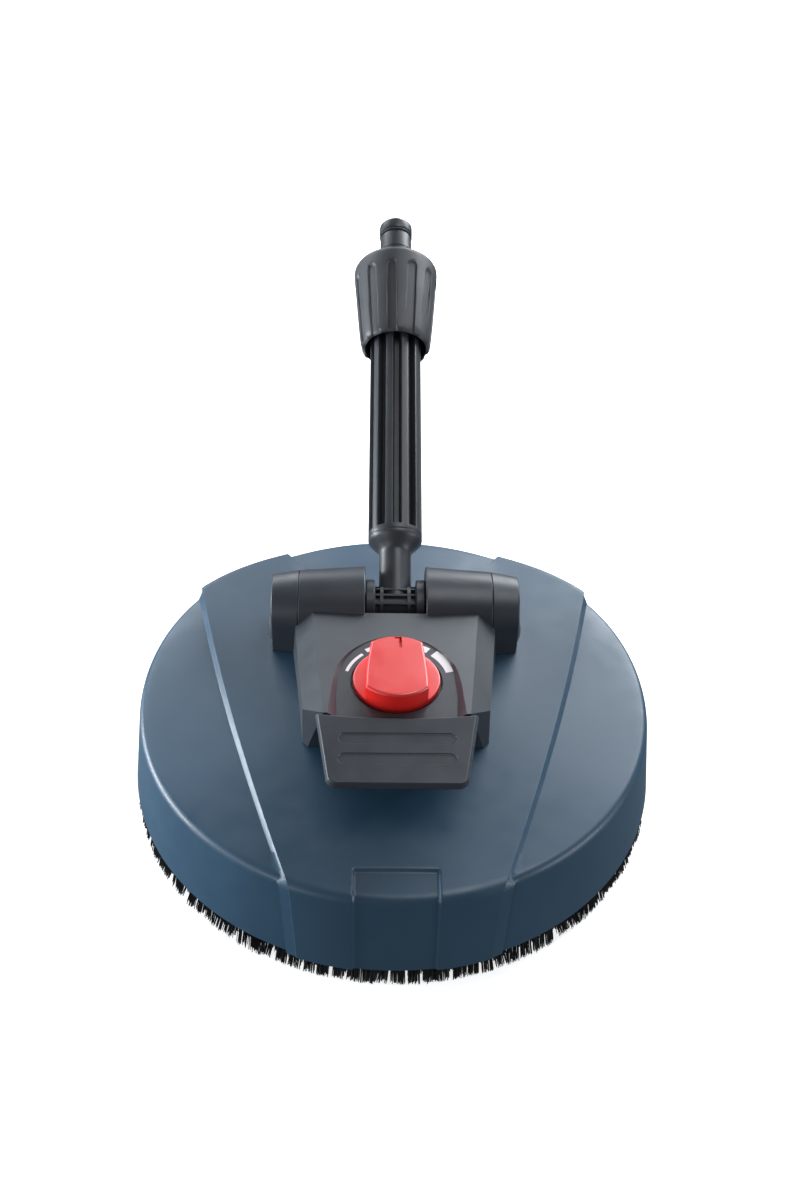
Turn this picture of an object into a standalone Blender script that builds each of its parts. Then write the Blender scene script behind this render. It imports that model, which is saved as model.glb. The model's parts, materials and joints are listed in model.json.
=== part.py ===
"""Rotary surface cleaner for a pressure washer, as an assembly of separate parts.

A round deck with a bristle skirt carries a black housing. A short lance hangs in two barrels
on the housing and feeds water through a valve and a swivel to a spinning bar of two jets
under the deck. A red knob sets the pressure and a sprung foot plate sticks out at the front.

Frame: +Z up, the floor at z = 0, the front of the deck towards -Y, the lance towards +Y.
The origin is on the floor, under the middle of the whole object's box.
Lengths below are in millimetres and are scaled to metres by MM.
"""

import math

import bmesh
import bpy
from mathutils import Matrix, Vector

MM = 0.001
GAP = 0.3
WELD = 0.00001

# Deck: a turned shell with a raised centre band and two shallow recessed panels.
RIM_R = 150.0
RIM_Z = 12.0
SHOULDER_R = 144.2
SHOULDER_Z = 59.0
FILLET = 6.0
DOME_RISE = 11.2
WALL = 2.6
SIDE_INSET = 1.0
BAND_LIFT = 2.6
BAND_SLOPE = 0.009
BAND_EDGE = (97.5, 0.2816, -0.000354)
BAND_CORNER_RISE = 8.3
SIDE_RISE = 5.5
FRONT_PANEL = (21.0, -127.0, 1.5)
BACK_PANEL = (33.0, 66.0, 68.0, 126.0, 2.5)
HUB_HOLE_R = 22.4
DECK_SIDES = 72

# Housing on the deck.
PIVOT_Y = 41.5
PIVOT_Z = 88.7
BARREL_X = (17.3, 55.0)
BARREL_R = (23.4, 21.0)
CAP_END_X = 70.5
CAP_R = (20.6, 18.5)
COVER_WALL = 2.4
PLATE_BACK_Y = 22.6
BLOCK_BACK = ((59.6, 22.9, 58.0), (56.0, 22.9, 100.0))
BLOCK_FRONT = ((50.2, -48.6, 58.0), (47.0, -62.6, 106.0))
CAVITY_TOP = 97.0
POSTS = ((47.0, 8.0), (38.0, -38.0))
SWIVEL_SCREW_R = 28.0

# Pressure knob and the dished recess that it stands in.
KNOB_Y = -34.0
KNOB_R = 23.0
DISH_R = 35.0
DISH_Z = 101.5
KNOB_TOP = 113.2
GRIP_HALF = 16.0

# Foot plate.
PEDAL_PIVOT = (-55.0, 93.0)
PEDAL_BACK = (40.4, -63.2, 105.7)
PEDAL_FRONT = (34.3, -102.3, 98.0)
PEDAL_THICKNESS = 3.6

# Lance, measured along its own axis from the pivot.
LANCE_ANGLE = math.radians(25.7)
JOURNAL_R = 8.0
DRUM_R = 11.8
EAR_R = 15.8
NECK_R = 9.4
TUBE_R = 16.0
CHANNEL_R = 11.6
RIBS = 10
TUBE_START = 43.8
COLLAR_START = 180.6
COLLAR_END = 242.0
NIPPLE_END = 282.0
NIPPLE_R = 10.55

# Spinning bar.
ARM_Z = 35.5
ARM_LENGTH = 90.0
JET_X = 110.0

# The deck's centre lies this far towards the front of the whole object's middle.
REACH = PIVOT_Y + NIPPLE_END * math.cos(LANCE_ANGLE) + 10.0 * math.sin(LANCE_ANGLE)
DECK_Y = (RIM_R - REACH) / 2

BLUE = (0.063, 0.100, 0.155)
BLACK = (0.030, 0.032, 0.036)
DARK = (0.015, 0.016, 0.018)
RED = (0.62, 0.030, 0.028)
STEEL = (0.55, 0.56, 0.58)
BRASS = (0.60, 0.42, 0.16)
RUBBER = (0.012, 0.012, 0.012)


# ---------------------------------------------------------------- scene and materials


def clear_scene():
    for obj in list(bpy.data.objects):
        bpy.data.objects.remove(obj, do_unlink=True)


def new_collection(name):
    group = bpy.data.collections.new(name)
    bpy.context.scene.collection.children.link(group)
    return group


def paint(obj, colour, roughness=0.5, metallic=0.0):
    """Gives the object its own Principled material."""
    material = bpy.data.materials.new(obj.name + "_finish")
    material.use_nodes = True
    shader = material.node_tree.nodes["Principled BSDF"]
    shader.inputs["Base Color"].default_value = (*colour, 1.0)
    shader.inputs["Roughness"].default_value = roughness
    shader.inputs["Metallic"].default_value = metallic
    obj.data.materials.clear()
    obj.data.materials.append(material)
    return obj


def axis_empty(name, location, parent=None, tilt=0.0):
    """An empty on a joint's axis. Tilt turns it about X."""
    empty = bpy.data.objects.new(name, None)
    PARTS.objects.link(empty)
    empty.location = Vector(location) * MM
    empty.rotation_euler.x = tilt
    empty.parent = parent
    return empty


def adopt(obj, parent, tool=False):
    """Puts the object in its collection, under its empty. A tool only cuts or joins."""
    (TOOLS if tool else PARTS).objects.link(obj)
    obj.parent = parent
    if tool:
        obj.hide_render = True
        obj.display_type = "WIRE"
    return obj


# ---------------------------------------------------------------- shapes


def smooth(mesh):
    mesh.shade_smooth()
    mesh.set_sharp_from_angle(angle=math.radians(35))


def object_from(name, bm):
    bmesh.ops.recalc_face_normals(bm, faces=bm.faces)
    if bm.calc_volume(signed=True) < 0:
        bmesh.ops.reverse_faces(bm, faces=bm.faces)
    mesh = bpy.data.meshes.new(name)
    bm.to_mesh(mesh)
    bm.free()
    smooth(mesh)
    return bpy.data.objects.new(name, mesh)


def evaluated_copy(obj):
    """The object's evaluated mesh, welded, as a bmesh. The object itself is removed."""
    bpy.context.scene.collection.objects.link(obj)
    graph = bpy.context.evaluated_depsgraph_get()
    graph.update()
    mesh = bpy.data.meshes.new_from_object(obj.evaluated_get(graph))
    bm = bmesh.new()
    bm.from_mesh(mesh)
    bmesh.ops.remove_doubles(bm, verts=bm.verts, dist=WELD)
    bpy.data.objects.remove(obj, do_unlink=True)
    bpy.data.meshes.remove(mesh)
    return bm


def turned_bmesh(profile, sides, closed):
    """The solid turned from (radius, height) points about Z, with a Screw modifier."""
    bm = bmesh.new()
    verts = [bm.verts.new((r * MM, 0.0, z * MM)) for r, z in profile]
    for first, second in zip(verts, verts[1:]):
        bm.edges.new((first, second))
    if closed:
        bm.edges.new((verts[-1], verts[0]))
    mesh = bpy.data.meshes.new("profile")
    bm.to_mesh(mesh)
    bm.free()
    obj = bpy.data.objects.new("profile", mesh)
    screw = obj.modifiers.new("Screw", "SCREW")
    screw.steps = sides
    screw.render_steps = sides
    screw.use_merge_vertices = True
    screw.merge_threshold = WELD
    return evaluated_copy(obj)


def turned(name, profile, sides=32, closed=False, place=None):
    """A turned piece. Place is a matrix in millimetres applied to the finished shape."""
    bm = turned_bmesh(profile, sides, closed)
    if place is not None:
        bm.transform(place)
    return object_from(name, bm)


def ring(name, inner, outer, low, high, sides=32, place=None):
    loop = [(inner, high), (outer, high), (outer, low), (inner, low)]
    return turned(name, loop, sides, True, place)


def rod(name, radius, low, high, sides=24, place=None):
    return turned(name, [(0, high), (radius, high), (radius, low), (0, low)], sides, False, place)


def shift(x=0.0, y=0.0, z=0.0):
    return Matrix.Translation(Vector((x, y, z)) * MM)


def along_x(sign=1.0, x=0.0, y=PIVOT_Y, z=PIVOT_Z):
    """Lays a piece that was made along Z along X, through the given point."""
    return shift(x, y, z) @ Matrix.Rotation(sign * math.pi / 2, 4, "Y")


def prism(name, outlines, low, high, place=None):
    """A flat plate with the given outline, and any further outlines as holes in it."""
    curve = bpy.data.curves.new(name, "CURVE")
    curve.dimensions = "2D"
    curve.fill_mode = "BOTH"
    curve.extrude = (high - low) / 2 * MM
    for outline in outlines:
        spline = curve.splines.new("POLY")
        spline.points.add(len(outline) - 1)
        for point, (x, y) in zip(spline.points, outline):
            point.co = (x * MM, y * MM, 0.0, 1.0)
        spline.use_cyclic_u = True
    bm = evaluated_copy(bpy.data.objects.new(name, curve))
    bmesh.ops.translate(bm, verts=bm.verts, vec=Vector((0, 0, (low + high) / 2 * MM)))
    if place is not None:
        bm.transform(place)
    return object_from(name, bm)


def box(name, low, high):
    bm = bmesh.new()
    size = [(b - a) * MM for a, b in zip(low, high)]
    middle = [(a + b) / 2 * MM for a, b in zip(low, high)]
    place = Matrix.Translation(middle) @ Matrix.Diagonal((*size, 1.0))
    bmesh.ops.create_cube(bm, size=1.0, matrix=place)
    return object_from(name, bm)


def wedge_box(name, bottom, top):
    """A cube whose front and back edges are moved. Each end is ((half width, y, z) back, front)."""
    bm = bmesh.new()
    bmesh.ops.create_cube(bm, size=2.0)
    for vert in bm.verts:
        end = top if vert.co.z > 0 else bottom
        half, y, z = end[0] if vert.co.y > 0 else end[1]
        vert.co = Vector((math.copysign(half, vert.co.x), y, z)) * MM
    return object_from(name, bm)


def arc(radius, start, stop, steps, centre=(0.0, 0.0)):
    """Points along an arc, angles in degrees."""
    points = []
    for step in range(steps + 1):
        angle = math.radians(start + (stop - start) * step / steps)
        points.append((centre[0] + radius * math.cos(angle), centre[1] + radius * math.sin(angle)))
    return points


def wire(name, points, radius, sides_setting=2):
    """A round bar along the points, with filled ends."""
    curve = bpy.data.curves.new(name, "CURVE")
    curve.dimensions = "3D"
    curve.bevel_depth = radius * MM
    curve.bevel_resolution = sides_setting
    curve.use_fill_caps = True
    spline = curve.splines.new("POLY")
    spline.points.add(len(points) - 1)
    for point, place in zip(spline.points, points):
        point.co = (*(Vector(place) * MM), 1.0)
    return object_from(name, evaluated_copy(bpy.data.objects.new(name, curve)))


def combine(obj, other, operation, parent):
    """Adds a Boolean with the other object, which becomes a hidden tool."""
    adopt(other, parent, tool=True)
    modifier = obj.modifiers.new(operation.title(), "BOOLEAN")
    modifier.operation = operation
    modifier.solver = "EXACT"
    modifier.object = other
    return obj


def dome_z(radius, lift=0.0):
    """Height of the deck's top at a radius, at the level of its side panels."""
    return SHOULDER_Z + DOME_RISE * (1 - (radius / SHOULDER_R) ** 2) + lift


def deck_line(inset, lift, rim_z=RIM_Z):
    """The deck's outline from its centre out over the shoulder and down to the rim."""
    flat_end = SHOULDER_R - FILLET
    line = [(r, dome_z(r, lift)) for r in (0.0, 50.0, 75.0, 98.0, 120.0, flat_end)]
    corner = SHOULDER_Z - FILLET + lift
    for radius, height in arc(FILLET, 60, 0, 2, (flat_end, corner)):
        line.append((radius - inset, height))
    line.append((RIM_R - inset, rim_z))
    return line


def share(value, low, high):
    """How far the value is on its way from low to high, from 0 to 1."""
    return min(max((value - low) / (high - low), 0.0), 1.0)


def band_rise(x, y):
    """Extra height of the band: it climbs to the back, most of all at its two back corners."""
    corner = share(abs(x), 62.0, 116.0) ** 1.3 * share(y, -60.0, 80.0)
    return BAND_SLOPE * y + BAND_CORNER_RISE * corner


def side_rise(x, y):
    """Extra height of the deck's side panels, which climb to the back near the shoulder."""
    return SIDE_RISE * share(y, -60.0, 70.0) * share(math.hypot(x, y), 75.0, 138.0) * share(abs(x), 70.0, 100.0)


def raise_top(bm, rise):
    """Lifts the deck's top by a rise that fades out down the skirt."""
    for vert in bm.verts:
        x, y, z = vert.co / MM
        vert.co.z += rise(x, y) * share(z, RIM_Z, SHOULDER_Z) * MM
    bmesh.ops.triangulate(bm, faces=bm.faces)


def dome_solid(name, inset, lift, bottom, rise):
    """Everything under a deck surface, down to the given height."""
    bm = turned_bmesh(deck_line(inset, lift, bottom) + [(0.0, bottom)], DECK_SIDES, False)
    raise_top(bm, rise)
    return object_from(name, bm)


def band_outline():
    """Plan of the centre band: two slightly bowed sides that draw together at the front."""
    a, b, c = BAND_EDGE
    ys = [-160 + 32 * step for step in range(11)]
    right = [(a + b * y + c * y * y, y) for y in ys]
    return right + [(-x, y) for x, y in reversed(right)]


def screw_places():
    """Where the eight screws go up through the deck: four for the swivel, four for the cover."""
    swivel = [arc(SWIVEL_SCREW_R, angle, angle, 1)[0] for angle in (30, 150, 210, 330)]
    cover = [(side * x, y) for x, y in POSTS for side in (-1, 1)]
    return swivel, cover


def make_deck_shell():
    shell = dome_solid("deck_shell", SIDE_INSET, 0.0, RIM_Z, side_rise)
    band = dome_solid("band_solid", 0.0, BAND_LIFT, RIM_Z + 0.4, band_rise)
    combine(band, prism("band_plan", [band_outline()], -20, 120), "INTERSECT", ROOT)
    combine(shell, band, "UNION", ROOT)
    inside = dome_solid("deck_inside", SIDE_INSET + WALL, -WALL, RIM_Z - 8, side_rise)
    combine(shell, inside, "DIFFERENCE", ROOT)
    combine(shell, panel_cutter("front_panel", front_panel_outline(), FRONT_PANEL[2]), "DIFFERENCE", ROOT)
    combine(shell, panel_cutter("back_panel", back_panel_outline(), BACK_PANEL[4]), "DIFFERENCE", ROOT)
    combine(shell, rod("hub_hole", HUB_HOLE_R, 40, 100, 28), "DIFFERENCE", ROOT)
    for index, (x, y) in enumerate(sum(screw_places(), [])):
        hole = rod(f"deck_hole_{index}", 2.2, 40, 100, 8, shift(x, y))
        combine(shell, hole, "DIFFERENCE", ROOT)
    return paint(adopt(shell, ROOT), BLUE, 0.42)


def front_panel_outline():
    half, start, _ = FRONT_PANEL
    return [(-half, start), (-half, -170), (half, -170), (half, start)]


def back_panel_outline():
    near, near_y, far, far_y, _ = BACK_PANEL
    grow = (far - near) / (far_y - near_y)
    end = far + grow * (175 - far_y)
    return [(-near, near_y), (near, near_y), (end, 175), (-end, 175)]


def panel_cutter(name, outline, depth):
    """What lies over a recessed panel, down to its floor."""
    outer = deck_line(-10.0, BAND_LIFT + 12.0, RIM_Z - 6)
    inner = deck_line(depth * 0.7, BAND_LIFT - depth, RIM_Z - 6)
    bm = turned_bmesh(outer + inner[::-1], DECK_SIDES, False)
    raise_top(bm, band_rise)
    cutter = object_from(name, bm)
    return combine(cutter, prism(name + "_plan", [outline], -20, 140), "INTERSECT", ROOT)


def make_brush():
    """The carrier that clips inside the rim, and the bristle ring below it."""
    top = 25.0
    bottom = 14.0
    carrier = [(139.0, top), (143.6, top), (144.8, bottom), (139.0, bottom)]
    adopt(turned("bristle_carrier", carrier, DECK_SIDES, True), ROOT)
    paint(bpy.data.objects["bristle_carrier"], DARK, 0.6)
    bristles = [(140.0, bottom - GAP), (144.8, bottom - GAP), (149.2, 0.0), (142.5, 0.0)]
    skirt = adopt(turned("brush_skirt", bristles, DECK_SIDES, True), ROOT)
    paint(skirt, RUBBER, 0.8)


# ---------------------------------------------------------------- housing


def tombstone(name, side, start, stop, radius, grow=0.0):
    """A round-topped block along X with straight legs, tapering from start to stop."""
    outline = arc(radius[0] + grow, 180, 0, 16)
    outline += [(radius[0] + grow, -36.0), (-radius[0] - grow, -36.0)]
    bm_obj = prism(name, [outline], start, stop)
    ratio = (radius[1] + grow) / (radius[0] + grow)
    middle = (start + stop) / 2 * MM
    turn = Matrix(((0, 0, side, 0), (1, 0, 0, 0), (0, 1, 0, 0), (0, 0, 0, 1)))
    bm = bmesh.new()
    bm.from_mesh(bm_obj.data)
    bpy.data.objects.remove(bm_obj, do_unlink=True)
    for vert in bm.verts:
        if vert.co.z > middle:
            vert.co.x *= ratio
            vert.co.y *= ratio
    bm.transform(shift(0, PIVOT_Y, PIVOT_Z) @ turn)
    return object_from(name, bm)


def wall_corner(height, low, high):
    """A (half width, y) corner of the housing at a height, on the line from low to high."""
    share = (height - low[2]) / (high[2] - low[2])
    return [a + (b - a) * share for a, b in zip(low[:2], high[:2])]


def cover_block(name, inset, bottom, top=None):
    """The tapered front body of the housing, with its long top edges bevelled off."""
    corners = []
    for low, high, direction in ((*BLOCK_BACK, -1.8), (*BLOCK_FRONT, 1.0)):
        lower = wall_corner(bottom, low, high)
        upper_z = high[2] if top is None else top
        upper = wall_corner(upper_z, low, high)
        shift_y = direction * inset
        corners.append(
            (
                (lower[0] - inset, lower[1] + shift_y, bottom),
                (upper[0] - inset, upper[1] + shift_y, upper_z),
            )
        )
    (back_low, back_top), (front_low, front_top) = corners
    block = wedge_box(name, (back_low, front_low), (back_top, front_top))
    bm = bmesh.new()
    bm.from_mesh(block.data)
    long_edges = [e for e in bm.edges if is_long_top_edge(e, back_top[2] - 4)]
    bmesh.ops.bevel(bm, geom=long_edges, offset=9.5 * MM, segments=1, affect="EDGES")
    bmesh.ops.triangulate(bm, faces=bm.faces)
    bpy.data.objects.remove(block, do_unlink=True)
    return object_from(name, bm)


def is_long_top_edge(edge, height):
    first, second = (vert.co / MM for vert in edge.verts)
    return min(first.z, second.z) > height and abs(first.y - second.y) > 30


def deck_clearance(name):
    """Everything below the centre band's surface, with the usual gap over it."""
    return dome_solid(name, -2.0, BAND_LIFT + GAP + 0.1, 20.0, band_rise)


def dish_outline(radius):
    """A half circle behind the knob, running straight out at the front."""
    back = arc(radius, 0, 180, 16, (0.0, KNOB_Y))
    return back + [(-radius + 1.0, -80.0), (radius - 1.0, -80.0)]


def make_cover():
    cover = cover_block("housing_cover", 0.0, 58.0)
    for side, word in ((-1, "left"), (1, "right")):
        combine(cover, tombstone(f"barrel_{word}", side, *BARREL_X, BARREL_R), "UNION", ROOT)
    cavity = cover_block("cover_cavity", COVER_WALL, 50.0, CAVITY_TOP)
    combine(cover, cavity, "DIFFERENCE", ROOT)
    hollow_r = (BARREL_R[0] - 2.6, BARREL_R[1] - 2.6)
    for side, word in ((-1, "left"), (1, "right")):
        hollow = tombstone(f"hollow_{word}", side, BARREL_X[0] + 4.8, BARREL_X[1] + 5, hollow_r)
        combine(cover, hollow, "DIFFERENCE", ROOT)
        bore = rod(f"bore_{word}", 10.3, 10, 24, 32, along_x(side))
        combine(cover, bore, "DIFFERENCE", ROOT)
        room = tombstone(f"cap_room_{word}", side, BARREL_X[1], CAP_END_X + 8, (CAP_R[0], CAP_R[0]), GAP)
        combine(cover, room, "DIFFERENCE", ROOT)
    add_posts(cover)
    add_pedal_bosses(cover)
    cuts = [
        box("drum_room", (-BARREL_X[0], PLATE_BACK_Y, 40), (BARREL_X[0], 80, 130)),
        box("pedal_mouth", (-29, -75, 87), (29, -50, 99.5)),
        prism("dish", [dish_outline(DISH_R)], DISH_Z, 125),
        rod("spindle_hole", 6.2, 80, 120, 24, shift(0, KNOB_Y)),
        rod("feed_hole", 6.5, 14, 28, 20, shift(37, 0, 87) @ Matrix.Rotation(-math.pi / 2, 4, "X")),
        deck_clearance("deck_room"),
    ]
    for cutter in cuts:
        combine(cover, cutter, "DIFFERENCE", ROOT)
    return paint(adopt(cover, ROOT), BLACK, 0.45)


def add_posts(cover):
    """Screw posts inside the cover, with a pilot hole up each."""
    for index, (x, y) in enumerate(screw_places()[1]):
        combine(cover, rod(f"post_{index}", 4.2, 60, CAVITY_TOP + 1, 16, shift(x, y)), "UNION", ROOT)
    for index, (x, y) in enumerate(screw_places()[1]):
        combine(cover, rod(f"pilot_{index}", 1.9, 50, 86, 10, shift(x, y)), "DIFFERENCE", ROOT)


def add_pedal_bosses(cover):
    """Two lugs inside the cover that hold the ends of the pedal's pin."""
    y, z = PEDAL_PIVOT
    for side, word in ((-1, "left"), (1, "right")):
        low, high = sorted((side * 30.5, side * 38.5))
        lug = box(f"lug_{word}", (low, y - 4.5, z - 4.5), (high, y + 4.5, CAVITY_TOP + 1))
        combine(cover, lug, "UNION", ROOT)
    pin_hole = rod("pin_hole", 2.2, -36.5, 36.5, 16, along_x(1, 0, y, z))
    combine(cover, pin_hole, "DIFFERENCE", ROOT)


def make_caps():
    """The end caps of the barrels, each a shell with a leg to the deck and a domed boss."""
    for side, word in ((-1, "left"), (1, "right")):
        cap = tombstone(f"barrel_cap_{word}", side, BARREL_X[1] + GAP, CAP_END_X, CAP_R)
        inner = (CAP_R[0] - 2.4, CAP_R[1] - 1.6)
        hollow = tombstone(f"cap_hollow_{word}", side, BARREL_X[1] - 2, CAP_END_X - 2.4, inner)
        boss_profile = [(0, 73.0), (5.0, 72.4), (9.0, 70.8), (9.6, 69.0), (0, 69.0)]
        boss = turned(f"cap_boss_{word}", boss_profile, 24, False, along_x(side, 0, 34.0, 80.0))
        combine(cap, boss, "UNION", ROOT)
        combine(cap, hollow, "DIFFERENCE", ROOT)
        combine(cap, deck_clearance(f"cap_deck_room_{word}"), "DIFFERENCE", ROOT)
        paint(adopt(cap, ROOT), BLACK, 0.45)


def make_bushes():
    """The plain bearings and thrust washers that the lance's journals turn in."""
    for side, word in ((-1, "left"), (1, "right")):
        start = BARREL_X[0] + 0.2
        bush = ring(f"trunnion_bush_{word}", JOURNAL_R + GAP, 10.0, start, 22.0, 32, along_x(side))
        paint(adopt(bush, ROOT), BRASS, 0.35, 1.0)
        washer = ring(f"trunnion_washer_{word}", JOURNAL_R + GAP, 13.0, 22.5, 24.0, 24, along_x(side))
        paint(adopt(washer, ROOT), STEEL, 0.3, 1.0)


# ---------------------------------------------------------------- water path


def make_valve():
    """The valve block on the deck: a round foot over the swivel and a bore for the spindle."""
    block = ring("valve_body", 6.6, 33.0, 73.4, 77.0, 28)
    body = box("valve_block", (-15, -45.5, 76.5), (15, 14, 89.5))
    combine(block, body, "UNION", ROOT)
    combine(block, box("foot_trim", (-40, 18.2, 60), (40, 40, 90)), "DIFFERENCE", ROOT)
    combine(block, rod("spindle_boss", 11.0, 89, 96.4, 24, shift(0, KNOB_Y)), "UNION", ROOT)
    combine(block, rod("water_bore", 5.0, 60, 84, 20), "DIFFERENCE", ROOT)
    combine(block, rod("spindle_bore", 4.4, 80, 110, 20, shift(0, KNOB_Y)), "DIFFERENCE", ROOT)
    for index, (x, y) in enumerate(screw_places()[0]):
        hole = rod(f"valve_hole_{index}", 2.2, 60, 90, 8, shift(x, y))
        combine(block, hole, "DIFFERENCE", ROOT)
    paint(adopt(block, ROOT), DARK, 0.5)

    seal = ring("knob_seal", 4.0 + GAP, 5.9, 98.2, 100.4, 24, shift(0, KNOB_Y))
    paint(adopt(seal, ROOT), RUBBER, 0.7)


def make_feed_elbow():
    """The elbow from the right-hand journal to the side of the valve block."""
    bend = arc(12.0, 0, -90, 6, (25.0, 12.0))
    route = [(37, PIVOT_Y, PIVOT_Z), (37, 30, 88)]
    route += [(x, y, 87 - (37 - x) * 0.14) for x, y in bend]
    route += [(20.0, 0.0, 84.4), (15.0 + GAP, 0.0, 84.4)]
    elbow = wire("feed_elbow", route, 4.5, 3)
    combine(elbow, rod("elbow_socket", 10.5, 30.5, 43, 24, along_x(1)), "UNION", ROOT)
    paint(adopt(elbow, ROOT), DARK, 0.5)


def make_swivel():
    """The swivel housing under the deck, with its bearings, seal and retaining ring."""
    loop = [
        (6.6, 72.3),
        (22.0, 72.3),
        (22.0, 66.2),
        (34.0, 66.2),
        (34.0, 62.4),
        (17.0, 62.4),
        (17.0, 43.5),
        (13.0, 43.5),
        (13.0, 66.5),
        (6.6, 66.5),
    ]
    housing = turned("swivel_housing", loop, 28, True)
    for index, (x, y) in enumerate(screw_places()[0]):
        hole = rod(f"swivel_hole_{index}", 2.2, 50, 80, 8, shift(x, y))
        combine(housing, hole, "DIFFERENCE", ROOT)
    paint(adopt(housing, ROOT), BRASS, 0.35, 1.0)
    rings = (
        ("bearing_lower", 6.3, 46.5, 53.0, STEEL, 1.0),
        ("bearing_upper", 6.3, 55.0, 61.5, STEEL, 1.0),
        ("swivel_seal", 6.3, 62.5, 66.1, RUBBER, 0.0),
        ("bearing_retainer", 9.0, 44.2, 46.1, STEEL, 1.0),
    )
    for name, inner, low, high, colour, metallic in rings:
        paint(adopt(ring(name, inner, 12.7, low, high), ROOT), colour, 0.3, metallic)


def make_screws():
    """Pan-head screws driven up from under the deck."""
    swivel, cover = screw_places()
    for index, (x, y) in enumerate(swivel):
        add_screw(f"swivel_screw_{index + 1}", x, y, 62.1, 80.0, 1.7)
    for index, (x, y) in enumerate(cover):
        under = dome_z(math.hypot(x, y) + 4.0, -WALL) - GAP - 0.1
        add_screw(f"cover_screw_{index + 1}", x, y, under, 83.0, 1.6)


def add_screw(name, x, y, seat, tip, shank):
    profile = [(0, tip), (shank, tip - 1), (shank, seat), (3.6, seat), (3.0, seat - 2.2), (0, seat - 2.4)]
    paint(adopt(turned(name, profile, 8, False, shift(x, y)), ROOT), STEEL, 0.3, 1.0)


# ---------------------------------------------------------------- spinning bar


def make_rotor():
    """The shaft, hub, two arms, two jets and nut that spin under the deck."""
    shaft_profile = [(0, 71.5), (6.0, 71.5), (6.0, 41.2), (4.0, 41.2), (4.0, 25.0), (0, 25.0)]
    paint(adopt(turned("rotor_shaft", shaft_profile, 24), ROTOR), STEEL, 0.3, 1.0)
    paint(adopt(ring("rotor_hub", 4.3, 14.0, 30.2, 40.9, 32), ROTOR), DARK, 0.5)
    hexagon = arc(8.0, 0, 300, 5)
    nut = prism("hub_nut", [hexagon, arc(4.3, 0, -345, 23)], 26.0, 29.9)
    paint(adopt(nut, ROTOR), STEEL, 0.3, 1.0)
    for side, word in ((-1, "left"), (1, "right")):
        arm = rod(f"arm_{word}", 5.0, 14.4, 14.4 + ARM_LENGTH, 20, along_x(side, 0, 0, ARM_Z))
        paint(adopt(arm, ROTOR), STEEL, 0.35, 1.0)
        jet_profile = [(0, 42.5), (6.0, 41.5), (6.0, 28.5), (4.0, 26.5), (3.6, 19.0), (0, 19.0)]
        jet = turned(f"jet_{word}", jet_profile, 20, False, shift(side * (JET_X + 0.8)))
        paint(adopt(jet, ROTOR), BRASS, 0.35, 1.0)


# ---------------------------------------------------------------- knob and pedal


def make_knob():
    """The round knob with its broad grip bar, and the spindle that it turns."""
    base = DISH_Z + GAP
    knob = rod("pressure_knob", KNOB_R, base, KNOB_TOP, 40)
    for side in (-1, 1):
        low, high = sorted((side * GRIP_HALF, side * 40))
        wing = box(f"knob_wing_{side}", (low, -40, base + 2.0), (high, 40, 130))
        combine(knob, wing, "DIFFERENCE", KNOB)
    combine(knob, rod("knob_socket", 4.0 + GAP, 90, 108.2, 20), "DIFFERENCE", KNOB)
    paint(adopt(knob, KNOB), RED, 0.4)
    spindle = [(0, 107.8), (4.0, 107.8), (4.0, 81.0), (0, 80.5)]
    paint(adopt(turned("valve_spindle", spindle, 20), KNOB), BRASS, 0.35, 1.0)


def make_pedal():
    """The foot plate: a sloping tread with two grip grooves and a tongue to its pin."""
    y, z = PEDAL_PIVOT
    half_back, y_back, z_back = PEDAL_BACK
    half_front, y_front, z_front = PEDAL_FRONT
    tread = wedge_box(
        "foot_pedal",
        ((half_back, y_back, z_back - PEDAL_THICKNESS), (half_front, y_front, z_front - PEDAL_THICKNESS)),
        ((half_back, y_back, z_back), (half_front, y_front, z_front)),
    )
    tilt = math.atan2(z_back - z_front, y_back - y_front)
    for index, distance in enumerate((14.2, 26.0)):
        groove_y = y_back - distance
        groove_z = z_back - distance * math.tan(tilt)
        slot = arc(2.8, 90, 270, 6, (-27, 0)) + arc(2.8, -90, 90, 6, (27, 0))
        place = shift(0, groove_y, groove_z) @ Matrix.Rotation(tilt, 4, "X")
        combine(tread, prism(f"groove_{index}", [slot], -1.0, 3.0, place), "DIFFERENCE", ROOT)
    web = box("pedal_web", (-28, y_back - 5.5, z - 1), (28, y_back - 1.5, z_back - 2.6))
    combine(tread, web, "UNION", ROOT)
    tongue = box("pedal_tongue", (-28, y_back - 5.0, z - 2.9), (28, y + 7.0, z + 2.9))
    combine(tread, tongue, "UNION", ROOT)
    combine(tread, box("spring_room", (-6.5, y - 4.6, 80), (6.5, y + 20, 98)), "DIFFERENCE", ROOT)
    combine(tread, rod("pedal_bore", 2.0 + GAP, -40, 40, 16, along_x(1, 0, y, z)), "DIFFERENCE", ROOT)
    paint(adopt(tread, PEDAL), BLACK, 0.45)
    tread.matrix_parent_inverse = PEDAL.matrix_basis.inverted()

    pin = rod("pedal_pin", 1.9, -36.0, 36.0, 16, along_x(1, 0, y, z))
    paint(adopt(pin, ROOT), STEEL, 0.3, 1.0)
    turns, per_turn = 4, 9
    coil = []
    for step in range(turns * per_turn + 1):
        angle = 2 * math.pi * step / per_turn
        x = -4.4 + 8.8 * step / (turns * per_turn)
        coil.append((x, y + 3.1 * math.cos(angle), z + 3.1 * math.sin(angle)))
    paint(adopt(wire("pedal_spring", coil, 0.5, 1), ROOT), STEEL, 0.3, 1.0)


# ---------------------------------------------------------------- lance


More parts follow.
